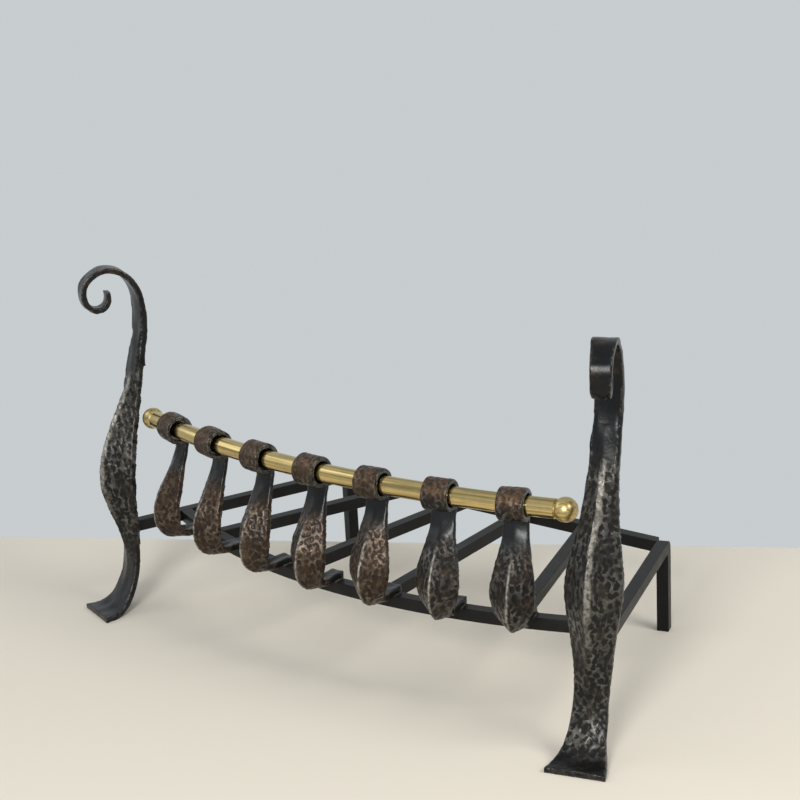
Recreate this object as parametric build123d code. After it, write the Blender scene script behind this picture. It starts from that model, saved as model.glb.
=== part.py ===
from build123d import *
import math
import os

# Fire grate: two forged end posts, a frame of square bars, seven leaf-shaped
# tines with rolled eyes, and a bowed brass rail that lies loose in the eyes.
# Millimetres. +Z up, the front faces -Y, the object stands on Z = 0.
# While it is built, Y = 0 is the middle of the front rail where it bows out most.

# Frame of square bars
bar = 13.0                  # side of every square bar
frame_top = 103.0           # height of the bars' top faces above the floor
rear_width = 453.0          # between the centres of the two rear legs
rear_y = 275.0              # centre of the rear rail
corner_outer_radius = 9.0   # bend where a side bar turns down into its leg
corner_inner_radius = 1.5
front_rail_radius = 700.0   # bow of the front rail
inner_bar_rear_x = (42.0, 126.5)    # where the grate bars meet the rear rail
inner_bar_angle = (4.7, 19.2)       # plan angle of those bars

# Brass rail and its balls
rail_height = 228.0
rail_radius = 1000.0        # bow of the brass rail
rail_ahead = 22.5           # the rail's middle stands this far ahead of the front rail
rod_radius = 9.6
rail_play = 1.7             # radial room of the rod in the eyes
ball_radius = 12.0
ball_distance = 286.0       # from the rail's middle to a ball's centre, along the arc
collar_radius = 8.2         # dark groove between ball and rod
collar_length = 1.2
ball_flat_radius = 8.6      # flat on the ball that faces the rod
stud_radius = 4.0
stud_depth = 14.0           # how far the stud reaches into the rod
stud_in_ball = 12.0         # and into the ball
stud_clearance = 0.15
stud_end_room = 1.0         # the blind holes are this much deeper than the stud

# Tines
tine_count = 7
tine_spacing = 78.2         # along the brass rail
tine_fan_radius = 720.0     # the tines point away from a centre this far behind
eye_width = 27.5
eye_wall = 5.0
eye_edge = 1.0              # worn edge of the eye
eye_seam = 0.8              # gap where the rolled end is tucked against the neck
tail_thickness = 8.0
tail_half_width = 7.5
tail_overhang = 0.5         # the tail ends this far behind the front rail
tail_flat_lead = 3.0        # the tail is flat from this far ahead of the rail
tail_ridge = 0.6            # slight crown along the tail
neck_half_width = 13.2
leaf_thickness = 5.5

# Stations up a tine's front face: ahead of the eye's centre, height above the
# frame's top, half width, how far the ridge stands out, thickness.
tine_leaf = (
    (2.5, 2.2, 10.5, 4.0, 7.5),
    (10.5, 8.6, 12.5, 11.0, 6.5),
    (14.8, 18.0, 17.5, 17.0, leaf_thickness),
    (16.2, 30.0, 21.5, 18.5, leaf_thickness),
    (15.6, 43.0, 22.6, 16.5, leaf_thickness),
    (11.2, 58.0, 20.5, 13.0, leaf_thickness),
    (5.2, 74.0, 16.6, 8.5, leaf_thickness),
    (-0.6, 90.0, 14.0, 2.6, eye_wall),
)
leaf_below_eye = 35.0       # the leaf's last station is this far below the eye's centre
neck_set = 6.0              # the neck's front stands this far ahead of the bore's rear

# Stations up the neck's front face: ahead of its top, below the eye's centre,
# how far the ridge stands out.
tine_neck = (
    (0.8, 22.0, 1.0),
    (0.0, 13.0, 0.8),
    (0.0, 9.0, 0.6),
)

# Forged end posts
post_x = 313.5              # post line at the floor, from the middle of the grate
post_y = 13.0
post_splay = 17.0           # degrees, the posts face outward
post_lean = 0.034           # sideways lean outward, per mm of height
post_thickness = 6.5
toe_thickness = 6.5
toe_half_width = 29.5
toe_sunk = 0.8              # ground off the sole so that the foot stands flat
post_leaf_top = 312.0       # end of the hammered leaf, on the strap's front
post_leaf_tip = 2.0         # thickness of that end

# Stations up a post's front face: ahead of the post line, height,
# half width, how far the ridge stands out, thickness.
post_leaf = (
    (67.0, toe_thickness - toe_sunk, toe_half_width, 0.8, toe_thickness),
    (55.0, toe_thickness - toe_sunk + 0.2, 27.0, 0.9, toe_thickness),
    (42.0, toe_thickness + 4.5, 23.0, 1.0, toe_thickness),
    (31.0, 24.0, 19.3, 1.3, post_thickness),
    (22.5, 42.0, 17.2, 2.0, post_thickness),
    (18.0, 63.0, 17.0, 4.5, post_thickness),
    (16.2, 86.0, 18.5, 10.0, post_thickness),
    (16.0, 110.0, 21.0, 17.5, post_thickness),
    (17.2, 136.0, 25.0, 24.5, post_thickness),
    (16.2, 162.0, 27.8, 28.0, post_thickness),
    (11.5, 190.0, 25.2, 25.0, post_thickness),
    (3.0, 220.0, 19.6, 19.0, post_thickness),
    (-5.5, 250.0, 16.0, 12.0, post_thickness),
    (-12.8, 281.0, 14.4, 6.5, post_thickness),
    (-18.3, post_leaf_top, 13.4, 0.8, post_leaf_tip),
)

# Scroll strap: stations along its middle, ahead of the post line, height,
# half width, share of the twist. It starts behind the leaf and rolls forward.
strap_thickness = 7.0
tip_thickness = 6.0
scroll_path = (
    (-19.4, 283.0, 13.6, 0.0),
    (-23.4, 310.0, 13.6, 0.0),
    (-26.2, 330.0, 13.5, 0.0),
    (-26.6, 348.0, 13.5, 0.1),
    (-24.2, 366.0, 13.3, 0.35),
    (-17.0, 381.5, 12.9, 0.7),
    (-5.5, 392.0, 12.2, 1.0),
    (9.0, 395.6, 11.4, 1.0),
    (23.0, 391.5, 10.6, 1.0),
    (33.0, 382.0, 10.0, 1.0),
    (36.2, 369.0, 9.6, 1.0),
    (32.2, 357.0, 9.2, 1.0),
    (22.5, 351.3, 8.8, 1.0),
    (13.0, 354.0, 8.3, 1.0),
    (8.4, 361.5, 7.9, 1.0),
    (8.2, 371.0, 7.5, 1.0),
)
scroll_twist = 10.0         # degrees, the rolled end faces further outward

frame_centre_z = frame_top - bar / 2
cutter = 2000.0             # side of the block that trims the feet to the floor


def interpolate(stations, height, column):
    """Value of one column of a station list at a height."""
    for low, high in zip(stations, stations[1:]):
        if low[1] <= height <= high[1]:
            share = (height - low[1]) / (high[1] - low[1])
            return low[column] + share * (high[column] - low[column])
    return stations[-1][column]


def tangents(points):
    """Unit directions along a list of (ahead, height) points."""
    found = []
    last = len(points) - 1
    for i in range(len(points)):
        a = points[max(i - 1, 0)]
        b = points[min(i + 1, last)]
        length = math.hypot(b[0] - a[0], b[1] - a[1])
        found.append(((b[0] - a[0]) / length, (b[1] - a[1]) / length))
    return found


def station_plane(ahead, height, direction, lean):
    """Plane square to the path; its -Y side is the front of the bar."""
    return Plane(
        origin=(lean * height, -ahead, height),
        x_dir=(1, 0, 0),
        z_dir=(0, -direction[0], direction[1]),
    )


def folded_section(half, ridge, thick):
    """Outline of a strip folded along its middle, ridge to the front."""
    return Polygon(
        (-half, 0),
        (0, -ridge),
        (half, 0),
        (half, thick),
        (0, thick - ridge),
        (-half, thick),
        align=None,
    )


def folded_strip(stations, lean=0.0):
    """Solid strip through stations of (ahead, height, half, ridge, thick)."""
    directions = tangents([(s[0], s[1]) for s in stations])
    sections = []
    for (ahead, height, half, ridge, thick), direction in zip(stations, directions):
        plane = station_plane(ahead, height, direction, lean)
        sections.append(plane * folded_section(half, ridge, thick))
    return loft(sections)


def flat_strip(stations, lean, thick_start, thick_end, twist):
    """Solid strap through stations of (ahead, height, half, share of the twist)."""
    directions = tangents([(s[0], s[1]) for s in stations])
    sections = []
    last = len(stations) - 1
    foot_ahead, foot_height = stations[0][0], stations[0][1]
    axis = Pos(lean * foot_height, -foot_ahead, 0)
    for i, ((ahead, height, half, share), direction) in enumerate(
        zip(stations, directions)
    ):
        thick = thick_start + (thick_end - thick_start) * i / last
        plane = station_plane(ahead, height, direction, lean)
        section = plane * Rectangle(2 * half, thick)
        sections.append(axis * Rot(0, 0, twist * share) * axis.inverse() * section)
    return loft(sections)


def in_post_frame(shape):
    """Set a shape drawn about the post line into the right post's place."""
    return Pos(post_x, post_y, 0) * Rot(0, 0, post_splay) * shape


def trim_to_floor(shape):
    """Cut off whatever reaches below the floor."""
    block = Pos(0, 0, -cutter / 2) * Box(cutter, cutter, cutter)
    return shape - block


def make_scroll():
    """Right scroll strap, from behind the leaf up to the rolled tip."""
    strap = flat_strip(
        scroll_path, post_lean, strap_thickness, tip_thickness, scroll_twist
    )
    return in_post_frame(strap)


def make_post(scroll):
    """Right post: foot, lower leg and ridged leaf, lapped on the strap."""
    leaf = trim_to_floor(in_post_frame(folded_strip(post_leaf, post_lean)))
    return largest(leaf - scroll)


def bar_line(rear_x, angle, y):
    """Sideways place of a bar that fans out from the rear rail, at a given y."""
    return rear_x + (rear_y - y) * math.tan(math.radians(angle))


def post_point(ahead, height):
    """Plan place of a point on the right post's middle line."""
    splay = math.radians(post_splay)
    side = post_lean * height
    x = post_x + side * math.cos(splay) + ahead * math.sin(splay)
    y = post_y + side * math.sin(splay) - ahead * math.cos(splay)
    return x, y


def make_side_bar(post):
    """Right side bar, bent down at the rear into a leg."""
    end_x, end_y = side_bar_end()
    rear_x = rear_width / 2
    length = math.hypot(end_x - rear_x, rear_y - end_y) + bar / 2
    half_leg = bar / 2
    outline = Polyline(
        (half_leg, 0),
        (half_leg, frame_top),
        (half_leg - length, frame_top),
        (half_leg - length, frame_top - bar),
        (-half_leg, frame_top - bar),
        (-half_leg, 0),
        close=True,
    )
    profile = make_face(outline)
    corners = profile.vertices()
    outer = corners.sort_by(Axis.X)[-2:].sort_by(Axis.Y)[-1]
    profile = fillet(outer, corner_outer_radius)
    inner = [
        v for v in profile.vertices()
        if abs(v.X + half_leg) < 0.01 and abs(v.Y - frame_top + bar) < 0.01
    ]
    profile = fillet(inner, corner_inner_radius)
    plane = Plane(origin=(0, 0, 0), x_dir=(0, 1, 0), z_dir=(1, 0, 0))
    blank = extrude(plane * profile, bar / 2, both=True)
    return largest(Pos(rear_x, rear_y, 0) * Rot(0, 0, side_bar_turn()) * blank - post)


def cut_at_side_bars(rail):
    """Cut a rail off square to the inner faces of both side bars."""
    length = 2 * rear_y
    wide = 4 * bar
    outside = Pos((wide - bar) / 2, -length / 4, frame_centre_z) * Box(wide, 1.5 * length, 2 * bar)
    right = Pos(rear_width / 2, rear_y, 0) * Rot(0, 0, side_bar_turn()) * outside
    return largest(rail - right - mirror(right, Plane.YZ))


def side_bar_turn():
    """Plan angle of the right side bar, from the rear corner to the post."""
    end_x, end_y = side_bar_end()
    return math.degrees(math.atan2(end_x - rear_width / 2, rear_y - end_y))


def side_bar_end():
    """Plan place of the side bar's front end, inside the leaf's wall."""
    ahead = interpolate(post_leaf, frame_centre_z, 0)
    ridge = interpolate(post_leaf, frame_centre_z, 3)
    return post_point(ahead + ridge - post_thickness / 2, frame_centre_z)


def make_rear_rail():
    """Straight bar between the two rear corners."""
    return cut_at_side_bars(Pos(0, rear_y, frame_centre_z) * Box(rear_width, bar, bar))


def front_rail_y(x):
    """Place of the front rail's middle line at a given x."""
    return front_rail_radius - math.sqrt(front_rail_radius ** 2 - x ** 2)


def make_front_rail():
    """Bowed bar between the side bars, a little behind the posts."""
    reach = bar_line(rear_width / 2, side_bar_turn(), 0)
    half_angle = math.degrees(math.asin(reach / front_rail_radius))
    section = Plane.XZ * Pos(front_rail_radius, frame_centre_z) * Rectangle(bar, bar)
    ring = revolve(section, Axis.Z, 2 * half_angle)
    rail = Pos(0, front_rail_radius, 0) * Rot(0, 0, -90 - half_angle) * ring
    return cut_at_side_bars(rail)


def largest(shape):
    """The biggest solid of a cut shape."""
    return shape.solids().sort_by(SortBy.VOLUME)[-1]


def make_grate_bar(rear_x, angle, front_rail, rear_rail):
    """One inner bar, butted between the front rail and the rear rail."""
    side = 1 if rear_x > 0 else -1
    front_x = side * bar_line(abs(rear_x), angle, 0)
    length = math.hypot(front_x - rear_x, rear_y)
    turn = math.degrees(math.atan2(front_x - rear_x, rear_y))
    blank = Pos(0, -length / 2, frame_centre_z) * Box(bar, length + 2 * bar, bar)
    placed = Pos(rear_x, rear_y, 0) * Rot(0, 0, turn) * blank
    return largest(placed - front_rail - rear_rail)


def rail_angle(distance):
    """Angle about the rail's centre of a point on its arc."""
    return distance / rail_radius


def rail_point(distance):
    """Plan place of a point on the brass rail's middle line."""
    angle = rail_angle(distance)
    centre_y = rail_radius - rail_ahead
    return rail_radius * math.sin(angle), centre_y - rail_radius * math.cos(angle)


def behind_to_rail(x, y, turn):
    """How far behind an eye the front rail's middle line lies."""
    distance = rail_ahead
    for _ in range(20):
        px = x - distance * math.sin(turn)
        distance = (front_rail_y(px) - y) / math.cos(turn)
    return distance


def make_tine(distance):
    """One tine: tail on the front rail, ridged leaf, neck and rolled eye."""
    x, y = rail_point(distance)
    turn = math.asin(x / tine_fan_radius)
    to_rail = behind_to_rail(x, y, turn)
    bore = rod_radius + rail_play
    outer = bore + eye_wall
    tail_end = -(to_rail + bar / 2 + tail_overhang)
    tail_start = -(to_rail - bar / 2 - tail_flat_lead)
    tail_middle = (tail_end + tail_start) / 2
    stations = [
        (ahead, frame_top, tail_half_width, tail_ridge, tail_thickness)
        for ahead in (tail_end, tail_middle, tail_start)
    ]
    leaf_height = rail_height - leaf_below_eye - frame_top
    stretch = leaf_height / tine_leaf[-1][1]
    for ahead, above, half, ridge, thick in tine_leaf:
        stations.append((ahead, frame_top + above * stretch, half, ridge, thick))
    neck_front = neck_set - bore
    for ahead, below, ridge in tine_neck:
        place = neck_front + ahead
        stations.append((place, rail_height - below, neck_half_width, ridge, eye_wall))
    strip = folded_strip(stations)
    above_rail = Pos(0, to_rail, frame_top - bar / 2) * Box(4 * bar, 3 * bar, bar)
    strip -= above_rail
    across = Rot(0, 90, 0)
    eye = chamfer(
        (across * Cylinder(outer, eye_width)).edges().filter_by(GeomType.CIRCLE),
        eye_edge,
    )
    eye = Pos(0, 0, rail_height) * eye
    hole = Pos(0, 0, rail_height) * across * Cylinder(bore, 2 * eye_width)
    slot = Pos(0, bore - eye_seam / 2, rail_height - outer / 2) * Box(
        2 * eye_width, eye_seam, outer
    )
    tine = largest(strip + eye - hole - slot)
    return Pos(x, y, 0) * Rot(0, 0, math.degrees(turn)) * tine


def at_rail_end(shape, distance):
    """Set a shape, drawn with the rail's outward run along +X, at an arc distance."""
    x, y = rail_point(distance)
    return Pos(x, y, rail_height) * Rot(0, 0, math.degrees(rail_angle(distance))) * shape


def make_rail():
    """Bowed brass rod with a blind hole in each end."""
    cut_end = rod_end()
    half_angle = math.degrees(rail_angle(cut_end))
    section = Plane.XZ * Pos(rail_radius, rail_height) * Circle(rod_radius)
    ring = revolve(section, Axis.Z, 2 * half_angle)
    rod = Pos(0, rail_radius - rail_ahead, 0) * Rot(0, 0, -90 - half_angle) * ring
    depth = stud_depth + stud_end_room
    hole = Pos(-depth / 2, 0, 0) * Rot(0, 90, 0) * Cylinder(stud_radius + stud_clearance, depth)
    right_hole = at_rail_end(hole, cut_end)
    return rod - right_hole - mirror(right_hole, Plane.YZ)


def rod_end():
    """Arc distance of the rod's end face from the rail's middle."""
    flat = math.sqrt(ball_radius ** 2 - ball_flat_radius ** 2)
    return ball_distance - flat - collar_length


def make_ball():
    """Right ball with its flat, its collar and a blind hole for the stud."""
    flat = math.sqrt(ball_radius ** 2 - ball_flat_radius ** 2)
    gap = Pos(-flat - ball_radius, 0, 0) * Box(2 * ball_radius, 3 * ball_radius, 3 * ball_radius)
    across = Rot(0, 90, 0)
    collar = Pos(-flat - collar_length / 2, 0, 0) * across * Cylinder(collar_radius, collar_length)
    depth = stud_in_ball + stud_end_room
    hole = Pos(-flat - collar_length + depth / 2, 0, 0) * across * Cylinder(
        stud_radius + stud_clearance, depth
    )
    ball = Sphere(ball_radius) - gap + collar - hole
    return at_rail_end(Pos(flat + collar_length, 0, 0) * ball, rod_end())


def make_stud():
    """Right threaded stud, hidden in the rod and the ball."""
    length = stud_depth + stud_in_ball
    middle = (stud_in_ball - stud_depth) / 2
    stud = Pos(middle, 0, 0) * Rot(0, 90, 0) * Cylinder(stud_radius, length)
    return at_rail_end(stud, rod_end())


def both_sides(name, shape):
    """A right piece and its mirror image on the left."""
    return {name + "_right": shape, name + "_left": mirror(shape, Plane.YZ)}


def build():
    """Every piece, by name."""
    pieces = {}
    scroll = make_scroll()
    post = make_post(scroll)
    side_bar = make_side_bar(post)
    pieces.update(both_sides("scroll", scroll))
    pieces.update(both_sides("post", post))
    pieces.update(both_sides("side_bar", side_bar))
    front_rail = make_front_rail()
    rear_rail = make_rear_rail()
    pieces["front_rail"] = front_rail
    pieces["rear_rail"] = rear_rail
    places = []
    for rear_x, angle in zip(inner_bar_rear_x, inner_bar_angle):
        places.append((-rear_x, angle))
        places.append((rear_x, angle))
    for number, (rear_x, angle) in enumerate(sorted(places), start=1):
        pieces[f"grate_bar_{number}"] = make_grate_bar(rear_x, angle, front_rail, rear_rail)
    middle = (tine_count - 1) / 2
    for number in range(tine_count):
        pieces[f"tine_{number + 1}"] = make_tine((number - middle) * tine_spacing)
    pieces["brass_rail"] = make_rail()
    pieces.update(both_sides("ball", make_ball()))
    pieces.update(both_sides("ball_stud", make_stud()))
    return pieces


pieces = build()
boxes = [shape.bounding_box() for shape in pieces.values()]
middle_y = (min(b.min.Y for b in boxes) + max(b.max.Y for b in boxes)) / 2

os.makedirs("parts", exist_ok=True)
for name, shape in pieces.items():
    placed = Pos(0, -middle_y, 0) * shape
    export_step(placed, os.path.join("parts", name + ".step"))

centre_y = rail_radius - rail_ahead - middle_y
print("rail hinge axis at x 0, y", round(centre_y, 3), "shift", round(-middle_y, 3))
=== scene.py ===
import math

import bmesh
import bpy
import numpy as np
from mathutils import Matrix, Vector


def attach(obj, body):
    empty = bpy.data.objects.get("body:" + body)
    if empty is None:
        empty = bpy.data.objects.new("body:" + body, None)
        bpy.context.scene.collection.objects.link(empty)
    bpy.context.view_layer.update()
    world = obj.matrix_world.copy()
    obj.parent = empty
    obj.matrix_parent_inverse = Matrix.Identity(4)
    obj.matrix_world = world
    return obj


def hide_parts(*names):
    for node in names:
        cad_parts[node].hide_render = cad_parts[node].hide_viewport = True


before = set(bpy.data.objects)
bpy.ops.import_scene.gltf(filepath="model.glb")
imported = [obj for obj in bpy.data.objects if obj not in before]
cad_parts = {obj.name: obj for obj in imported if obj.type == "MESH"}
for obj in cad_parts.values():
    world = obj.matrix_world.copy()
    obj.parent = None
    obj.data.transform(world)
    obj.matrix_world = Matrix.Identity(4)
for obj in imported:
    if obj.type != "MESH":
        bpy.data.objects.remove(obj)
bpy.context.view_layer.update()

# Sizes and places of the pieces, in metres
RAIL_RADIUS = 1.0
RAIL_CENTRE_Y = 0.865694
RAIL_HEIGHT = 0.228
TINE_COUNT = 7
TINE_SPACING = 0.0782       # along the rail
FAN_RADIUS = 0.720          # the tines point away from a centre this far behind
EYE_HALF_WIDTH = 0.01375
POST_X = 0.3135
POST_Y = -0.098806
POST_SPLAY = math.radians(17.0)
POST_LEAN = 0.034           # sideways, per metre of height
BAR = 0.013
FRAME_TOP = 0.103
REAR_Y = 0.163194           # middle of the rear rail
FRONT_RADIUS = 0.700        # bow of the front rail
FRONT_CENTRE_Y = 0.588194

# Camera at the angle of the picture
IMAGE = 800.0
FOCAL = 1721.287            # pixels
YAW, PITCH, ROLL = 0.715052, 0.282213, -0.052861
EYE = Vector((1.150006, -1.317418, 0.774337))

ahead = Vector((
    -math.sin(YAW) * math.cos(PITCH), math.cos(YAW) * math.cos(PITCH), -math.sin(PITCH)
))
level = Vector((math.cos(YAW), math.sin(YAW), 0.0))
above = level.cross(ahead)
right = math.cos(ROLL) * level + math.sin(ROLL) * above
up = -math.sin(ROLL) * level + math.cos(ROLL) * above

camera_data = bpy.data.cameras.new("camera")
camera_data.sensor_width = 36.0
camera_data.lens = 36.0 * FOCAL / IMAGE
camera_data.clip_start = 0.05
camera_data.clip_end = 60.0
camera = bpy.data.objects.new("camera", camera_data)
bpy.context.scene.collection.objects.link(camera)
turn = Matrix((right, up, -ahead)).transposed().to_4x4()
camera.matrix_world = Matrix.Translation(EYE) @ turn
bpy.context.scene.camera = camera


def floor_point(px, py):
    """Point of the floor seen at a pixel of the photograph."""
    ray = ahead * FOCAL + right * (px - IMAGE / 2) + up * (IMAGE / 2 - py)
    return EYE - ray * (EYE.z / ray.z)


# Tools for building materials
def shader(name):
    """A new material with its tree, shader and a small builder for nodes."""
    material = bpy.data.materials.new(name)
    material.use_nodes = True
    tree = material.node_tree
    principled = tree.nodes["Principled BSDF"]

    def add(kind, inputs=None, **settings):
        node = tree.nodes.new(kind)
        for key, value in settings.items():
            setattr(node, key, value)
        for key, value in (inputs or {}).items():
            if isinstance(value, bpy.types.NodeSocket):
                tree.links.new(value, node.inputs[key])
            else:
                node.inputs[key].default_value = value
        return node

    return material, tree, principled, add


def ramp(add, source, stops):
    """Colour ramp with (position, grey or colour) stops; returns its colour."""
    node = add("ShaderNodeValToRGB", {"Fac": source})
    elements = node.color_ramp.elements
    while len(elements) < len(stops):
        elements.new(0.5)
    for element, (place, colour) in zip(elements, stops):
        element.position = place
        if not hasattr(colour, "__len__"):
            colour = (colour, colour, colour)
        element.color = (*colour, 1.0)
    return node.outputs["Color"]


def noise(add, coords, scale, detail=3.0, rough=0.55):
    """Noise value on object coordinates."""
    node = add(
        "ShaderNodeTexNoise",
        {"Vector": coords, "Scale": scale, "Detail": detail, "Roughness": rough},
    )
    return node.outputs["Fac"]


def mix(add, share, a, b, kind="MIX"):
    """Colour mix; share, a and b are sockets or values."""
    node = add("ShaderNodeMix", data_type="RGBA", blend_type=kind)
    tree = node.id_data
    for socket, value in ((node.inputs[0], share), (node.inputs[6], a), (node.inputs[7], b)):
        if isinstance(value, bpy.types.NodeSocket):
            tree.links.new(value, socket)
        elif hasattr(value, "__len__"):
            socket.default_value = (*value, 1.0)
        else:
            socket.default_value = value
    return node.outputs[2]


def math_node(add, kind, a, b=0.0, clamp=False):
    """One arithmetic step."""
    node = add("ShaderNodeMath", {0: a, 1: b}, operation=kind, use_clamp=clamp)
    return node.outputs[0]


def attribute(add, name):
    """Value that the mesh carries at its points."""
    return add("ShaderNodeAttribute", attribute_name=name).outputs["Fac"]


# Materials
def forged(name, network, pit, brown, brown_share, smooth, rust=0.0):
    """Hammered black iron: dark pits in a worn network, with smooth zones."""
    material, tree, principled, add = shader(name)
    coords = add("ShaderNodeTexCoord").outputs["Object"]
    pits = attribute(add, "pit")
    hammered = attribute(add, "ham")
    edge = attribute(add, "edge")
    ridge = attribute(add, "ridge")
    fine = noise(add, coords, 850.0, 4.0)
    broad = noise(add, coords, 48.0, 3.0)
    middle = noise(add, coords, 240.0, 3.0)

    ragged = noise(add, coords, 380.0, 5.0, 0.65)
    blur = math_node(add, "MULTIPLY", math_node(add, "SUBTRACT", ragged, 0.5), 2.2)
    pit_share = ramp(add, math_node(add, "ADD", pits, blur), [(0.02, 0.0), (0.34, 1.0)])
    worn = mix(add, ramp(add, middle, [(0.36, 0.0), (0.66, 1.0)]),
               [c * 0.45 for c in network], network)
    patchy = ramp(add, broad, [(0.36, 0.22), (0.62, 1.0)])
    worn = mix(add, 1.0, worn, patchy, "MULTIPLY")
    colour = mix(add, pit_share, worn, pit)
    brown_mask = ramp(add, noise(add, coords, 70.0, 3.0), [
        (0.56 - brown_share * 0.3, 0.0), (0.74 - brown_share * 0.1, 1.0)
    ])
    colour = mix(add, math_node(add, "MULTIPLY", brown_mask, 0.55), colour, brown)
    calm = mix(add, ramp(add, broad, [(0.3, 0.0), (0.7, 1.0)]),
               smooth, [c * 1.9 for c in smooth])
    high = add("ShaderNodeSeparateXYZ", {0: coords}).outputs["Z"]
    twice_high = math_node(add, "MULTIPLY", high, 2.0)
    heat = ramp(add, twice_high, [(0.66, 0.0), (0.74, 0.8)])
    calm = mix(add, math_node(add, "MULTIPLY", heat, brown_mask), calm, (0.060, 0.038, 0.022))
    ring_top = ramp(
        add, twice_high, [(0.452, 0.0), (0.472, 1.0), (0.49, 1.0), (0.50, 0.0)]
    )
    rusty = math_node(add, "MULTIPLY", ring_top, ramp(add, middle, [(0.38, 0.25), (0.60, 1.0)]))
    colour = mix(add, math_node(add, "MULTIPLY", rusty, rust), colour, (0.215, 0.124, 0.066))
    colour = mix(add, hammered, calm, colour)
    # Painted highlight: a pale line along the leaf ridges from the ridge attribute, which also
    # lightens the eye end faces
    bright = math_node(add, "MULTIPLY", ridge, ramp(add, middle, [(0.36, 0.15), (0.58, 1.0)]))
    colour = mix(add, math_node(add, "MULTIPLY", bright, 0.8), colour, (0.34, 0.325, 0.29))
    rub = math_node(add, "MULTIPLY", edge, ramp(add, middle, [(0.45, 0.0), (0.66, 1.0)]))
    rub = math_node(add, "MULTIPLY", rub, 0.34, clamp=True)
    colour = mix(add, rub, colour, (0.26, 0.235, 0.20))
    tree.links.new(colour, principled.inputs["Base Color"])
    principled.inputs["Metallic"].default_value = 0.6
    principled.inputs["Specular IOR Level"].default_value = 0.25
    principled.inputs["Coat Weight"].default_value = 0.14
    principled.inputs["Coat Roughness"].default_value = 0.20
    roughness = ramp(add, pit_share, [(0.0, 0.39), (1.0, 0.52)])
    roughness = mix(add, hammered, ramp(add, middle, [(0.3, 0.26), (0.7, 0.36)]), roughness)
    tree.links.new(roughness, principled.inputs["Roughness"])
    bump = add("ShaderNodeBump", {
        "Height": math_node(add, "ADD", math_node(add, "MULTIPLY", fine, 0.5), middle),
        "Strength": 0.35,
        "Distance": 0.0006,
    })
    tree.links.new(bump.outputs[0], principled.inputs["Normal"])
    return material


def satin_black():
    """Satin black bars, a little lighter on their upward faces."""
    material, tree, principled, add = shader("satin_black")
    coords = add("ShaderNodeTexCoord").outputs["Object"]
    normal = add("ShaderNodeNewGeometry").outputs["Normal"]
    upward = add("ShaderNodeSeparateXYZ", {0: normal}).outputs["Z"]
    broad = noise(add, coords, 45.0, 4.0)
    fine = noise(add, coords, 700.0, 3.0)
    colour = mix(add, ramp(add, broad, [(0.35, 0.0), (0.7, 1.0)]),
                 (0.0042, 0.0045, 0.0050), (0.0085, 0.0085, 0.0085))
    # Lighter colour on the upward faces, varied by broad noise
    top_paleness = math_node(add, "MULTIPLY", upward, broad, clamp=True)
    top_pale_share = math_node(add, "MULTIPLY", top_paleness, 0.20)
    colour = mix(add, top_pale_share, colour, (0.050, 0.046, 0.041))
    tree.links.new(colour, principled.inputs["Base Color"])
    principled.inputs["Metallic"].default_value = 0.0
    principled.inputs["Specular IOR Level"].default_value = 0.2
    tree.links.new(ramp(add, broad, [(0.3, 0.38), (0.7, 0.5)]), principled.inputs["Roughness"])
    bump = add("ShaderNodeBump", {"Height": fine, "Strength": 0.25, "Distance": 0.0004})
    tree.links.new(bump.outputs[0], principled.inputs["Normal"])
    return material


def brass(name, high, low):
    """Satin brass drawn along its bow, with painted dark reflection bands along the rod, and its
    highest and lowest roughness.
    """
    material, tree, principled, add = shader(name)
    coords = add("ShaderNodeTexCoord").outputs["Object"]
    split = add("ShaderNodeSeparateXYZ", {0: coords})
    back = math_node(add, "SUBTRACT", RAIL_CENTRE_Y, split.outputs["Y"])
    bow = math_node(add, "ARCTAN2", split.outputs["X"], back)
    far = math_node(add, "SQRT", math_node(
        add, "ADD", math_node(add, "MULTIPLY", back, back),
        math_node(add, "MULTIPLY", split.outputs["X"], split.outputs["X"])))
    drawn = add("ShaderNodeCombineXYZ", {
        "X": math_node(add, "MULTIPLY", bow, 0.02), "Y": far, "Z": split.outputs["Z"],
    }).outputs[0]
    streak = noise(add, drawn, 900.0, 3.0)
    # Painted reflection: slow noise around the rod's section, long along the bow, for the bands
    painted_band = noise(add, drawn, 330.0, 2.0)
    broad = noise(add, coords, 26.0, 3.0)
    cloud = noise(add, coords, 140.0, 4.0)
    colour = mix(add, ramp(add, broad, [(0.36, 0.0), (0.66, 1.0)]),
                 (0.70, 0.53, 0.235), (0.58, 0.45, 0.20))
    colour = mix(add, ramp(add, cloud, [(0.5, 0.0), (0.75, 0.3)]), colour, (0.36, 0.28, 0.13))
    colour = mix(add, ramp(add, streak, [(0.35, 0.28), (0.6, 0.0)]), colour, (0.30, 0.225, 0.09))
    # Painted reflection: dark bands along the rod where its surroundings would show dark in it
    colour = mix(add, ramp(add, painted_band, [(0.40, 0.62), (0.52, 0.0)]), colour, (0.19, 0.145, 0.050))
    tree.links.new(colour, principled.inputs["Base Color"])
    principled.inputs["Metallic"].default_value = 1.0
    gloss = ramp(add, streak, [(0.3, low), (0.7, high)])
    tree.links.new(gloss, principled.inputs["Roughness"])
    bump = add("ShaderNodeBump", {"Height": streak, "Strength": 0.10, "Distance": 0.0001})
    tree.links.new(bump.outputs[0], principled.inputs["Normal"])
    return material


def plain_steel():
    """Bare steel of the hidden studs."""
    material, tree, principled, add = shader("plain_steel")
    coords = add("ShaderNodeTexCoord").outputs["Object"]
    grain = noise(add, coords, 500.0)
    tree.links.new(ramp(add, grain, [(0.3, 0.38), (0.7, 0.5)]), principled.inputs["Base Color"])
    principled.inputs["Metallic"].default_value = 1.0
    principled.inputs["Roughness"].default_value = 0.4
    return material


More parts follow.
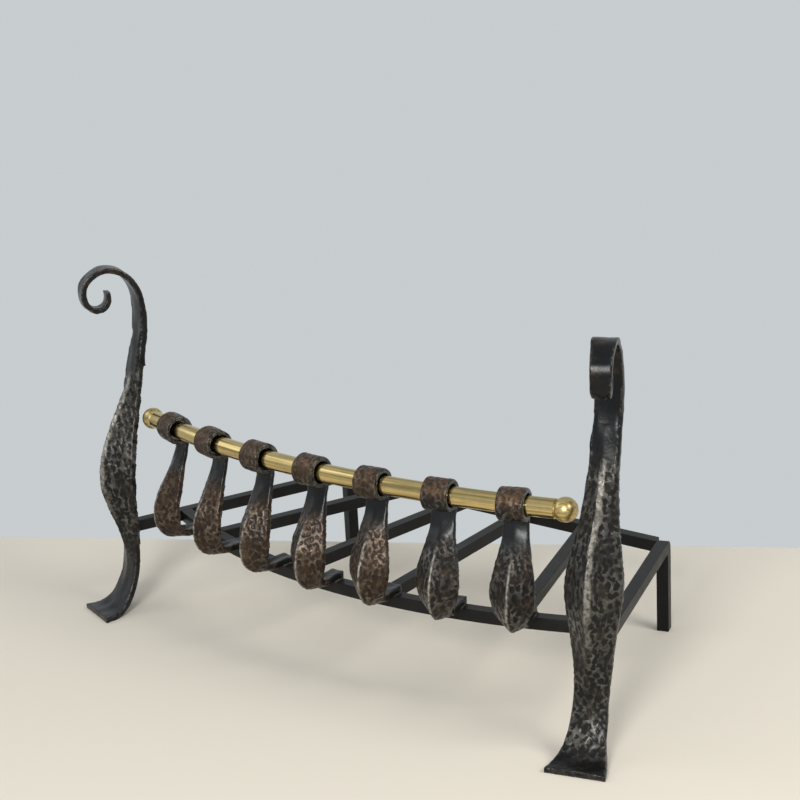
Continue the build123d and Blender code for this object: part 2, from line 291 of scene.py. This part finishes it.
post_iron = forged(
    "post_iron", (0.145, 0.139, 0.127), (0.0100, 0.0092, 0.0088), (0.046, 0.036, 0.027), 0.1,
    (0.0065, 0.0070, 0.0078),
)
tine_iron = forged(
    "tine_iron", (0.165, 0.128, 0.093), (0.020, 0.0125, 0.0088), (0.068, 0.040, 0.023), 0.5,
    (0.0085, 0.0092, 0.0100), 0.25,
)
tine_iron_dark = forged(
    "tine_iron_dark", (0.150, 0.138, 0.122), (0.0115, 0.0100, 0.0090), (0.060, 0.036, 0.022), 0.2,
    (0.0110, 0.0120, 0.0135), 0.45,
)
black = satin_black()
gold = brass("drawn_brass", 0.22, 0.14)
ball_gold = brass("turned_brass", 0.40, 0.32)
steel = plain_steel()


# Tools for meshes
SOFT_TIMES = 26             # smoothing of the form that worn edges stand out from
EDGE_HEIGHT = 0.00060       # an edge this much proud is fully worn
EDGE_START = 0.45
WAVE_LENGTH = 0.022         # of the slow unevenness
CALM_SOLE = (0.0015, 0.0120)    # the soles stay flat below these heights


def copy_of(node):
    """A welded copy of a node's mesh as a new object."""
    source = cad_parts[node]
    mesh = source.data.copy()
    work = bmesh.new()
    work.from_mesh(mesh)
    bmesh.ops.remove_doubles(work, verts=work.verts, dist=2e-6)
    work.to_mesh(mesh)
    work.free()
    mesh.materials.clear()
    piece = bpy.data.objects.new(node + "_look", mesh)
    bpy.context.scene.collection.objects.link(piece)
    return piece


def applied(piece):
    """Replace the object's mesh by what its modifiers make of it."""
    bpy.context.view_layer.update()
    graph = bpy.context.evaluated_depsgraph_get()
    mesh = bpy.data.meshes.new_from_object(piece.evaluated_get(graph))
    old = piece.data
    piece.modifiers.clear()
    piece.data = mesh
    bpy.data.meshes.remove(old)


def points_of(mesh):
    """Places of the mesh's points."""
    found = np.empty(len(mesh.vertices) * 3)
    mesh.vertices.foreach_get("co", found)
    return found.reshape(-1, 3)


def normals_of(mesh):
    """Directions in which the mesh faces at its points."""
    found = np.empty(len(mesh.vertices) * 3)
    mesh.vertex_normals.foreach_get("vector", found)
    return found.reshape(-1, 3)


def put_points(mesh, points):
    """Move the mesh's points."""
    mesh.vertices.foreach_set("co", points.reshape(-1))
    mesh.update()


def smoothed(points, pairs, times):
    """Points moved half way towards the mean of their neighbours, a few times."""
    count = len(points)
    a = np.concatenate((pairs[:, 0], pairs[:, 1]))
    b = np.concatenate((pairs[:, 1], pairs[:, 0]))
    near = np.bincount(a, minlength=count)[:, None].clip(1)
    points = points.copy()
    for _ in range(times):
        mean = np.stack(
            [np.bincount(a, weights=points[b, k], minlength=count) for k in range(3)], 1
        ) / near
        points += 0.5 * (mean - points)
    return points


def edge_pairs(mesh):
    """Pairs of points that an edge joins."""
    pairs = np.empty(len(mesh.edges) * 2, np.int64)
    mesh.edges.foreach_get("vertices", pairs)
    return pairs.reshape(-1, 2)


def carry(mesh, name, values):
    """Store one number per point for the material."""
    layer = mesh.attributes.new(name, "FLOAT", "POINT")
    layer.data.foreach_set("value", np.asarray(values, np.float32))


def cells_around(cell):
    """The 27 cells in and around a cell."""
    return [
        (cell[0] + dx, cell[1] + dy, cell[2] + dz)
        for dx in (-1, 0, 1)
        for dy in (-1, 0, 1)
        for dz in (-1, 0, 1)
    ]


def scatter(points, allowed, spacing, chance):
    """Points at least a spacing apart, picked in a seeded order."""
    order = chance.permutation(np.flatnonzero(allowed))
    cells = {}
    kept = []
    for index in order:
        place = points[index]
        cell = tuple((place // spacing).astype(int))
        close = any(
            ((place - points[other]) ** 2).sum() < spacing * spacing
            for around in cells_around(cell)
            for other in cells.get(around, ())
        )
        if not close:
            cells.setdefault(cell, []).append(index)
            kept.append(index)
    return kept


def ripple(points, size, seed):
    """Smooth uneven field made of a few waves, from about -1 to 1."""
    chance = np.random.default_rng(seed)
    total = np.zeros(len(points))
    for _ in range(7):
        direction = chance.normal(size=3)
        direction /= np.linalg.norm(direction)
        phase = chance.uniform(0, 2 * math.pi)
        rate = chance.uniform(0.7, 1.4)
        total += np.sin(points @ direction * (2 * math.pi / size) * rate + phase)
    return total / 3.2


def hammer(piece, voxel, ham, ridge, calm, seed, spacing, depth, wave):
    """Remesh a piece finely, let calm ease it and beat pits in where ham says."""
    modifier = piece.modifiers.new("grid", "REMESH")
    modifier.mode = "VOXEL"
    modifier.voxel_size = voxel
    applied(piece)
    mesh = piece.data
    pairs = edge_pairs(mesh)
    points = smoothed(points_of(mesh), pairs, 2)
    points = calm(points, normals_of(mesh), pairs)
    put_points(mesh, points)
    normals = normals_of(mesh)
    beaten = ham(points, normals)
    soft = smoothed(points, pairs, SOFT_TIMES)
    edge = ((points - soft) * normals).sum(1)
    chance = np.random.default_rng(seed)
    seats = scatter(points, beaten > 0.2, spacing, chance)
    bent = points + 0.20 * spacing * np.stack(
        [ripple(points, 1.7 * spacing, seed + 60 + k) for k in range(3)], 1
    )
    pit = np.zeros(len(points))
    cell_size = spacing * 1.2
    cells = {}
    for index, cell in enumerate(map(tuple, (points // cell_size).astype(int))):
        cells.setdefault(cell, []).append(index)
    for seat in seats:
        place, normal = points[seat], normals[seat]
        tilt = chance.normal(0.0, 0.45)
        across = np.cross(normal, (0.0, 0.0, 1.0))
        size = np.linalg.norm(across)
        across = across / size if size > 0.1 else np.array((1.0, 0.0, 0.0))
        along = np.cross(across, normal)
        long_way = along * math.cos(tilt) + across * math.sin(tilt)
        wide_way = across * math.cos(tilt) - along * math.sin(tilt)
        long_r = spacing * chance.uniform(0.50, 1.02)
        wide_r = spacing * chance.uniform(0.38, 0.68)
        base = tuple((place // cell_size).astype(int))
        near = np.array([i for cell in cells_around(base) for i in cells.get(cell, ())])
        near = near[normals[near] @ normal > 0.3]
        offset = bent[near] - bent[seat]
        d = ((offset @ long_way) / long_r) ** 2 + ((offset @ wide_way) / wide_r) ** 2
        d += ((offset @ normal) / (0.6 * spacing)) ** 2
        bowl = np.clip(1.0 - d, 0.0, 1.0)
        pit[near] = np.maximum(pit[near], bowl * chance.uniform(0.75, 1.0))
    low = step(points[:, 2], *CALM_SOLE)
    shift = -depth * pit * beaten + wave * low * ripple(points, WAVE_LENGTH, seed + 1)
    put_points(mesh, points + normals * shift[:, None])
    mesh.shade_smooth()
    carry(mesh, "pit", pit * beaten)
    carry(mesh, "ham", beaten)
    carry(mesh, "edge", np.clip(edge / EDGE_HEIGHT - EDGE_START, 0.0, 1.0))
    carry(mesh, "ridge", ridge(points, normals))


def dress(piece, node, body, material):
    """Give a piece its finish and its body, and hide the node that it stands for."""
    piece.data.materials.append(material)
    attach(piece, body)
    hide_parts(node)


def step(value, low, high):
    """0 below low, 1 above high, smooth between."""
    t = np.clip((value - low) / (high - low), 0.0, 1.0)
    return t * t * (3 - 2 * t)


# Tines
MIDDLE_TINE = 4
FIRST_DARK_TINE = 6
RING_EDGE = (0.0172, 0.0185)    # where the eye's face ends, out from its centre
RING_FACE = (0.0138, 0.0150)    # where the eye's face begins


def tine_frame(number):
    """Eye centre, forward and sideways directions of a tine."""
    angle = (number - MIDDLE_TINE) * TINE_SPACING / RAIL_RADIUS
    x = RAIL_RADIUS * math.sin(angle)
    centre = np.array((x, RAIL_CENTRE_Y - RAIL_RADIUS * math.cos(angle), RAIL_HEIGHT))
    turned = math.asin(x / FAN_RADIUS)
    forward = np.array((math.sin(turned), -math.cos(turned), 0.0))
    sideways = np.array((math.cos(turned), math.sin(turned), 0.0))
    return centre, forward, sideways


def tine_ham(number):
    """Hammered leaf and ring of a tine, with a smooth tail, neck and end faces."""
    centre, forward, sideways = tine_frame(number)

    def ham(points, normals):
        local = points - centre
        reach = local @ forward
        side = np.abs(local @ sideways)
        height = points[:, 2]
        leaf = 1.0 - step(height, 0.172, 0.196)
        tail = step(-reach, 0.002, 0.010) * (1.0 - step(height, 0.112, 0.122))
        leaf = leaf * (1.0 - tail)
        out = np.hypot(reach, local[:, 2])
        ring = 1.0 - step(out, *RING_EDGE)
        ring_face = ring * (1.0 - step(side, EYE_HALF_WIDTH - 0.0016, EYE_HALF_WIDTH - 0.0006))
        ring_face = ring_face * step(out, *RING_FACE)
        return np.clip(np.maximum(leaf, ring_face), 0.0, 1.0)

    return ham


def tine_calm(points, normals, pairs):
    """The neck below the eye is drawn smooth."""
    height = points[:, 2]
    share = 0.6 * step(height, 0.180, 0.192) * (1.0 - step(height, 0.204, 0.210))
    return points + (smoothed(points, pairs, 40) - points) * share[:, None]


def tine_ridge(number):
    """Painted highlight line down the front of the leaf's ridge, and the paler end faces of the
    eye.
    """
    centre, forward, sideways = tine_frame(number)

    def ridge(points, normals):
        local = points - centre
        off = np.abs(local @ sideways)
        height = points[:, 2]
        span = step(height, 0.104, 0.118) * (1.0 - step(height, 0.160, 0.186))
        # Painted highlight along the front of the leaf ridge
        worn = (1.0 - step(off, 0.0004, 0.0021)) * span * step(normals @ forward, 0.1, 0.5)
        ring = 1.0 - step(np.hypot(local @ forward, local[:, 2]), *RING_EDGE)
        return np.maximum(worn, 0.24 * ring * step(np.abs(normals @ sideways), 0.6, 0.95))

    return ridge


for number in range(1, TINE_COUNT + 1):
    node = f"tine_{number}"
    piece = copy_of(node)
    hammer(
        piece, voxel=0.0009, ham=tine_ham(number), ridge=tine_ridge(number), calm=tine_calm,
        seed=100 + number, spacing=0.0052, depth=0.00055, wave=0.00030,
    )
    material = tine_iron_dark if number >= FIRST_DARK_TINE else tine_iron
    dress(piece, node, "grate", material)

# Posts, each merged with its scroll strap
LAP_HALF_WIDTH = 0.0128     # the lap's front is eased within this
LAP_TIMES = 1100            # rounds of easing


def post_frame(sign):
    """Foot point, forward and sideways directions of a post."""
    base = np.array((sign * POST_X, POST_Y, 0.0))
    forward = np.array((sign * math.sin(POST_SPLAY), -math.cos(POST_SPLAY), 0.0))
    sideways = np.array((math.cos(POST_SPLAY), sign * math.sin(POST_SPLAY), 0.0))
    return base, forward, sideways


def post_calm(sign):
    """The front of the lap of leaf and strap is drawn out smooth."""
    base, forward, sideways = post_frame(sign)

    def calm(points, normals, pairs):
        height = points[:, 2]
        zone = step(height, 0.252, 0.270) * (1.0 - step(height, 0.342, 0.358))
        aside = np.abs((points - base) @ sideways - sign * POST_LEAN * height)
        front = (normals @ forward > -0.2) & (aside < LAP_HALF_WIDTH)
        front = front & (height > 0.245) & (height < 0.362)
        inner = pairs[front[pairs[:, 0]] & front[pairs[:, 1]]]
        reach = (points - base) @ forward
        eased = reach.copy()
        a = np.concatenate((inner[:, 0], inner[:, 1]))
        b = np.concatenate((inner[:, 1], inner[:, 0]))
        near = np.bincount(a, minlength=len(points)).clip(1)
        for _ in range(LAP_TIMES):
            mean = np.bincount(a, weights=eased[b], minlength=len(points)) / near
            eased = np.where(front, eased + 0.6 * zone * (mean - eased), eased)
        points = points + (eased - reach)[:, None] * forward
        share = step(height, 0.300, 0.306) * (1.0 - step(height, 0.318, 0.324))
        return points + (smoothed(points, pairs, 30) - points) * share[:, None]

    return calm


def post_ham(sign):
    """Hammered up to just below the strap; the left lower leg is nearly smooth."""

    def ham(points, normals):
        height = points[:, 2]
        toe = 0.25 + 0.75 * step(height, 0.0066, 0.0120)
        if sign < 0:
            toe = 0.15 + 0.85 * step(height, 0.045, 0.098)
        return (1.0 - step(height, 0.262, 0.290)) * toe

    return ham


def post_ridge(sign):
    """Painted highlight line down the ridge of a post's leaf."""
    base, forward, sideways = post_frame(sign)

    def ridge(points, normals):
        height = points[:, 2]
        off = (points - base) @ sideways - sign * POST_LEAN * height
        off = off + 0.0012 * ripple(points, 0.03, 5)
        span = step(height, 0.125, 0.165) * (1.0 - step(height, 0.262, 0.285))
        faint = 0.35 * step(height, 0.098, 0.125) * (1.0 - step(height, 0.27, 0.28))
        span = np.maximum(span, faint)
        # Painted highlight band beside the ridge, offset to one side of it
        painted_band = step(off, -0.0012, 0.0) * (1.0 - step(off, 0.0030, 0.0052))
        return painted_band * span * step(normals @ forward, 0.05, 0.4)

    return ridge


for side, sign, seed in (("left", -1, 31), ("right", 1, 47)):
    piece = copy_of(f"post_{side}")
    strap = copy_of(f"scroll_{side}")
    work = bmesh.new()
    work.from_mesh(piece.data)
    work.from_mesh(strap.data)
    work.to_mesh(piece.data)
    work.free()
    bpy.data.objects.remove(strap)
    hammer(
        piece, voxel=0.0010, ham=post_ham(sign), ridge=post_ridge(sign), calm=post_calm(sign),
        seed=seed, spacing=0.0059, depth=0.00060, wave=0.00034,
    )
    dress(piece, f"post_{side}", "grate", post_iron)
    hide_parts(f"scroll_{side}")

# Frame of square bars, with slightly worn edges
BAR_NODES = ["side_bar_left", "side_bar_right", "front_rail", "rear_rail"]
BAR_NODES += [f"grate_bar_{number}" for number in range(1, 5)]
for node in BAR_NODES:
    piece = copy_of(node)
    bevel = piece.modifiers.new("worn_edges", "BEVEL")
    bevel.width = 0.0007
    bevel.segments = 3
    bevel.limit_method = "ANGLE"
    bevel.angle_limit = math.radians(35)
    bevel.harden_normals = True
    applied(piece)
    dress(piece, node, "grate", black)

# Beads of weld at the bars and the tails of the tines
BAR_BEAD = 0.0017           # radius of the beads between bars
TINE_BEAD = 0.0016          # radius of the beads beside a tail
TAIL_SIDE = 0.0078          # a bead's distance from the middle of the tail


def weld_iron():
    """Lumpy dark weld metal with a brown bloom."""
    material, tree, principled, add = shader("weld_iron")
    coords = add("ShaderNodeTexCoord").outputs["Object"]
    cloud = noise(add, coords, 320.0, 4.0)
    colour = mix(add, ramp(add, cloud, [(0.4, 0.0), (0.65, 1.0)]),
                 (0.016, 0.015, 0.014), (0.070, 0.046, 0.028))
    tree.links.new(colour, principled.inputs["Base Color"])
    principled.inputs["Metallic"].default_value = 0.5
    principled.inputs["Roughness"].default_value = 0.45
    return material


def bead(name, start, end, radius, seed):
    """Row of flattened drops run together along a joint."""
    chance = np.random.default_rng(seed)
    start, end = Vector(start), Vector(end)
    length = (end - start).length
    count = max(int(length / (radius * 0.9)), 3)
    work = bmesh.new()
    for index in range(count):
        place = start.lerp(end, (index + 0.5) / count)
        place = place + Vector(chance.normal(0.0, radius * 0.12, 3))
        size = radius * chance.uniform(0.85, 1.15)
        bmesh.ops.create_icosphere(
            work, subdivisions=3, radius=size, matrix=Matrix.Translation(place)
        )
    mesh = bpy.data.meshes.new(name)
    work.to_mesh(mesh)
    work.free()
    piece = bpy.data.objects.new(name, mesh)
    bpy.context.scene.collection.objects.link(piece)
    modifier = piece.modifiers.new("grid", "REMESH")
    modifier.mode = "VOXEL"
    modifier.voxel_size = radius * 0.22
    applied(piece)
    put_points(piece.data, smoothed(points_of(piece.data), edge_pairs(piece.data), 3))
    piece.data.shade_smooth()
    piece.data.materials.append(weld)
    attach(piece, "grate")


def front_rail_y(x):
    """Middle line of the front rail."""
    return FRONT_CENTRE_Y - math.sqrt(FRONT_RADIUS ** 2 - x ** 2)


weld = weld_iron()
inner_bars = ((-0.1265, -19.2), (-0.042, -4.7), (0.042, 4.7), (0.1265, 19.2))
for number, (rear_x, degrees) in enumerate(inner_bars, start=1):
    slope = math.tan(math.radians(degrees))
    x = rear_x
    for _ in range(20):
        y = front_rail_y(x) + BAR / 2
        x = rear_x + (REAR_Y - y) * slope
    half = BAR / 2 - 0.0006
    top = FRAME_TOP - 0.0008
    bead(f"weld_front_{number}", (x - half, y, top), (x + half, y, top), BAR_BEAD, 200 + number)
    x = rear_x + (BAR / 2) * slope
    y = REAR_Y - BAR / 2
    bead(f"weld_rear_{number}", (x - half, y, top), (x + half, y, top), BAR_BEAD, 220 + number)
for number in range(1, TINE_COUNT + 1):
    centre, forward, sideways = tine_frame(number)
    reach = 0.0
    for _ in range(20):
        place = centre - forward * reach
        reach = reach + (front_rail_y(place[0]) - place[1]) / -forward[1]
    place = centre - forward * (reach - BAR / 2)
    place[2] = FRAME_TOP - 0.0010
    for mark, side in (("a", -1), ("b", 1)):
        corner = place + sideways * side * TAIL_SIDE
        begin, finish = corner + forward * 0.0005, corner - forward * (BAR - 0.002)
        finish[2] = begin[2] = FRAME_TOP + 0.0003
        seed = 240 + 2 * number + (side > 0)
        bead(f"weld_tine_{number}_{mark}", begin, finish, TINE_BEAD, seed)

# Brass rail, balls and studs keep their own meshes
FINISHES = {
    "brass_rail": gold,
    "ball_left": ball_gold,
    "ball_right": ball_gold,
    "ball_stud_left": steel,
    "ball_stud_right": steel,
}
for node, finish in FINISHES.items():
    for material_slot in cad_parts[node].material_slots:
        material_slot.material = finish


# Floor, lamps and backdrop
def plane(name, corners, colour):
    """Flat stage piece with a plain matt colour."""
    mesh = bpy.data.meshes.new(name)
    mesh.from_pydata([tuple(c) for c in corners], [], [tuple(range(len(corners)))])
    piece = bpy.data.objects.new(name, mesh)
    bpy.context.scene.collection.objects.link(piece)
    material, tree, principled, add = shader(name + "_paint")
    principled.inputs["Base Color"].default_value = (*colour, 1.0)
    principled.inputs["Roughness"].default_value = 0.85
    mesh.materials.append(material)


FLOOR_REACH = 6             # how far the floor runs on past the picture on each side
FLOOR_DEPTH = 1.6
line_a, line_b = floor_point(0, 537), floor_point(800, 548)
run = (line_b - line_a).normalized()
low_a, low_b = line_a - FLOOR_REACH * run, line_b + FLOOR_REACH * run
toward = FLOOR_DEPTH * Vector((run.y, -run.x, 0))
plane("floor", [low_a, low_a + toward, low_b + toward, low_b], (0.79, 0.745, 0.655))


def area_light(name, place, target, size, power, colour):
    """Round soft lamp that points at a target."""
    data = bpy.data.lights.new(name, "AREA")
    data.shape = "DISK"
    data.size = size
    data.energy = power
    data.color = colour
    lamp = bpy.data.objects.new(name, data)
    lamp.location = place
    aim = Vector(target) - Vector(place)
    lamp.rotation_euler = aim.to_track_quat("-Z", "Y").to_euler()
    bpy.context.scene.collection.objects.link(lamp)


area_light("key", (1.15, -2.5, 1.5), (0, 0, 0.2), 0.9, 52.0, (1.0, 0.97, 0.92))
area_light("side", (2.0, 0.1, 1.7), (0, 0, 0.15), 1.2, 27.0, (1.0, 0.96, 0.90))
area_light("fill", (-1.9, -1.2, 1.6), (0, 0, 0.15), 1.8, 8.0, (0.94, 0.97, 1.0))

world = bpy.data.worlds.new("studio")
bpy.context.scene.world = world
world.use_nodes = True
sky = world.node_tree
light = sky.nodes["Background"]
light.inputs["Color"].default_value = (0.86, 0.88, 0.90, 1)
light.inputs["Strength"].default_value = 0.45
backdrop = sky.nodes.new("ShaderNodeBackground")
backdrop.inputs["Color"].default_value = (0.575, 0.608, 0.625, 1)
backdrop.inputs["Strength"].default_value = 1.0
path = sky.nodes.new("ShaderNodeLightPath")
seen = path.outputs["Is Camera Ray"]
for kind in ("Is Glossy Ray", "Is Transmission Ray"):
    either = sky.nodes.new("ShaderNodeMath")
    either.operation = "MAXIMUM"
    sky.links.new(seen, either.inputs[0])
    sky.links.new(path.outputs[kind], either.inputs[1])
    seen = either.outputs[0]
choice = sky.nodes.new("ShaderNodeMixShader")
sky.links.new(seen, choice.inputs[0])
sky.links.new(light.outputs[0], choice.inputs[1])
sky.links.new(backdrop.outputs[0], choice.inputs[2])
sky.links.new(choice.outputs[0], sky.nodes["World Output"].inputs["Surface"])
bpy.context.scene.view_settings.view_transform = "Standard"
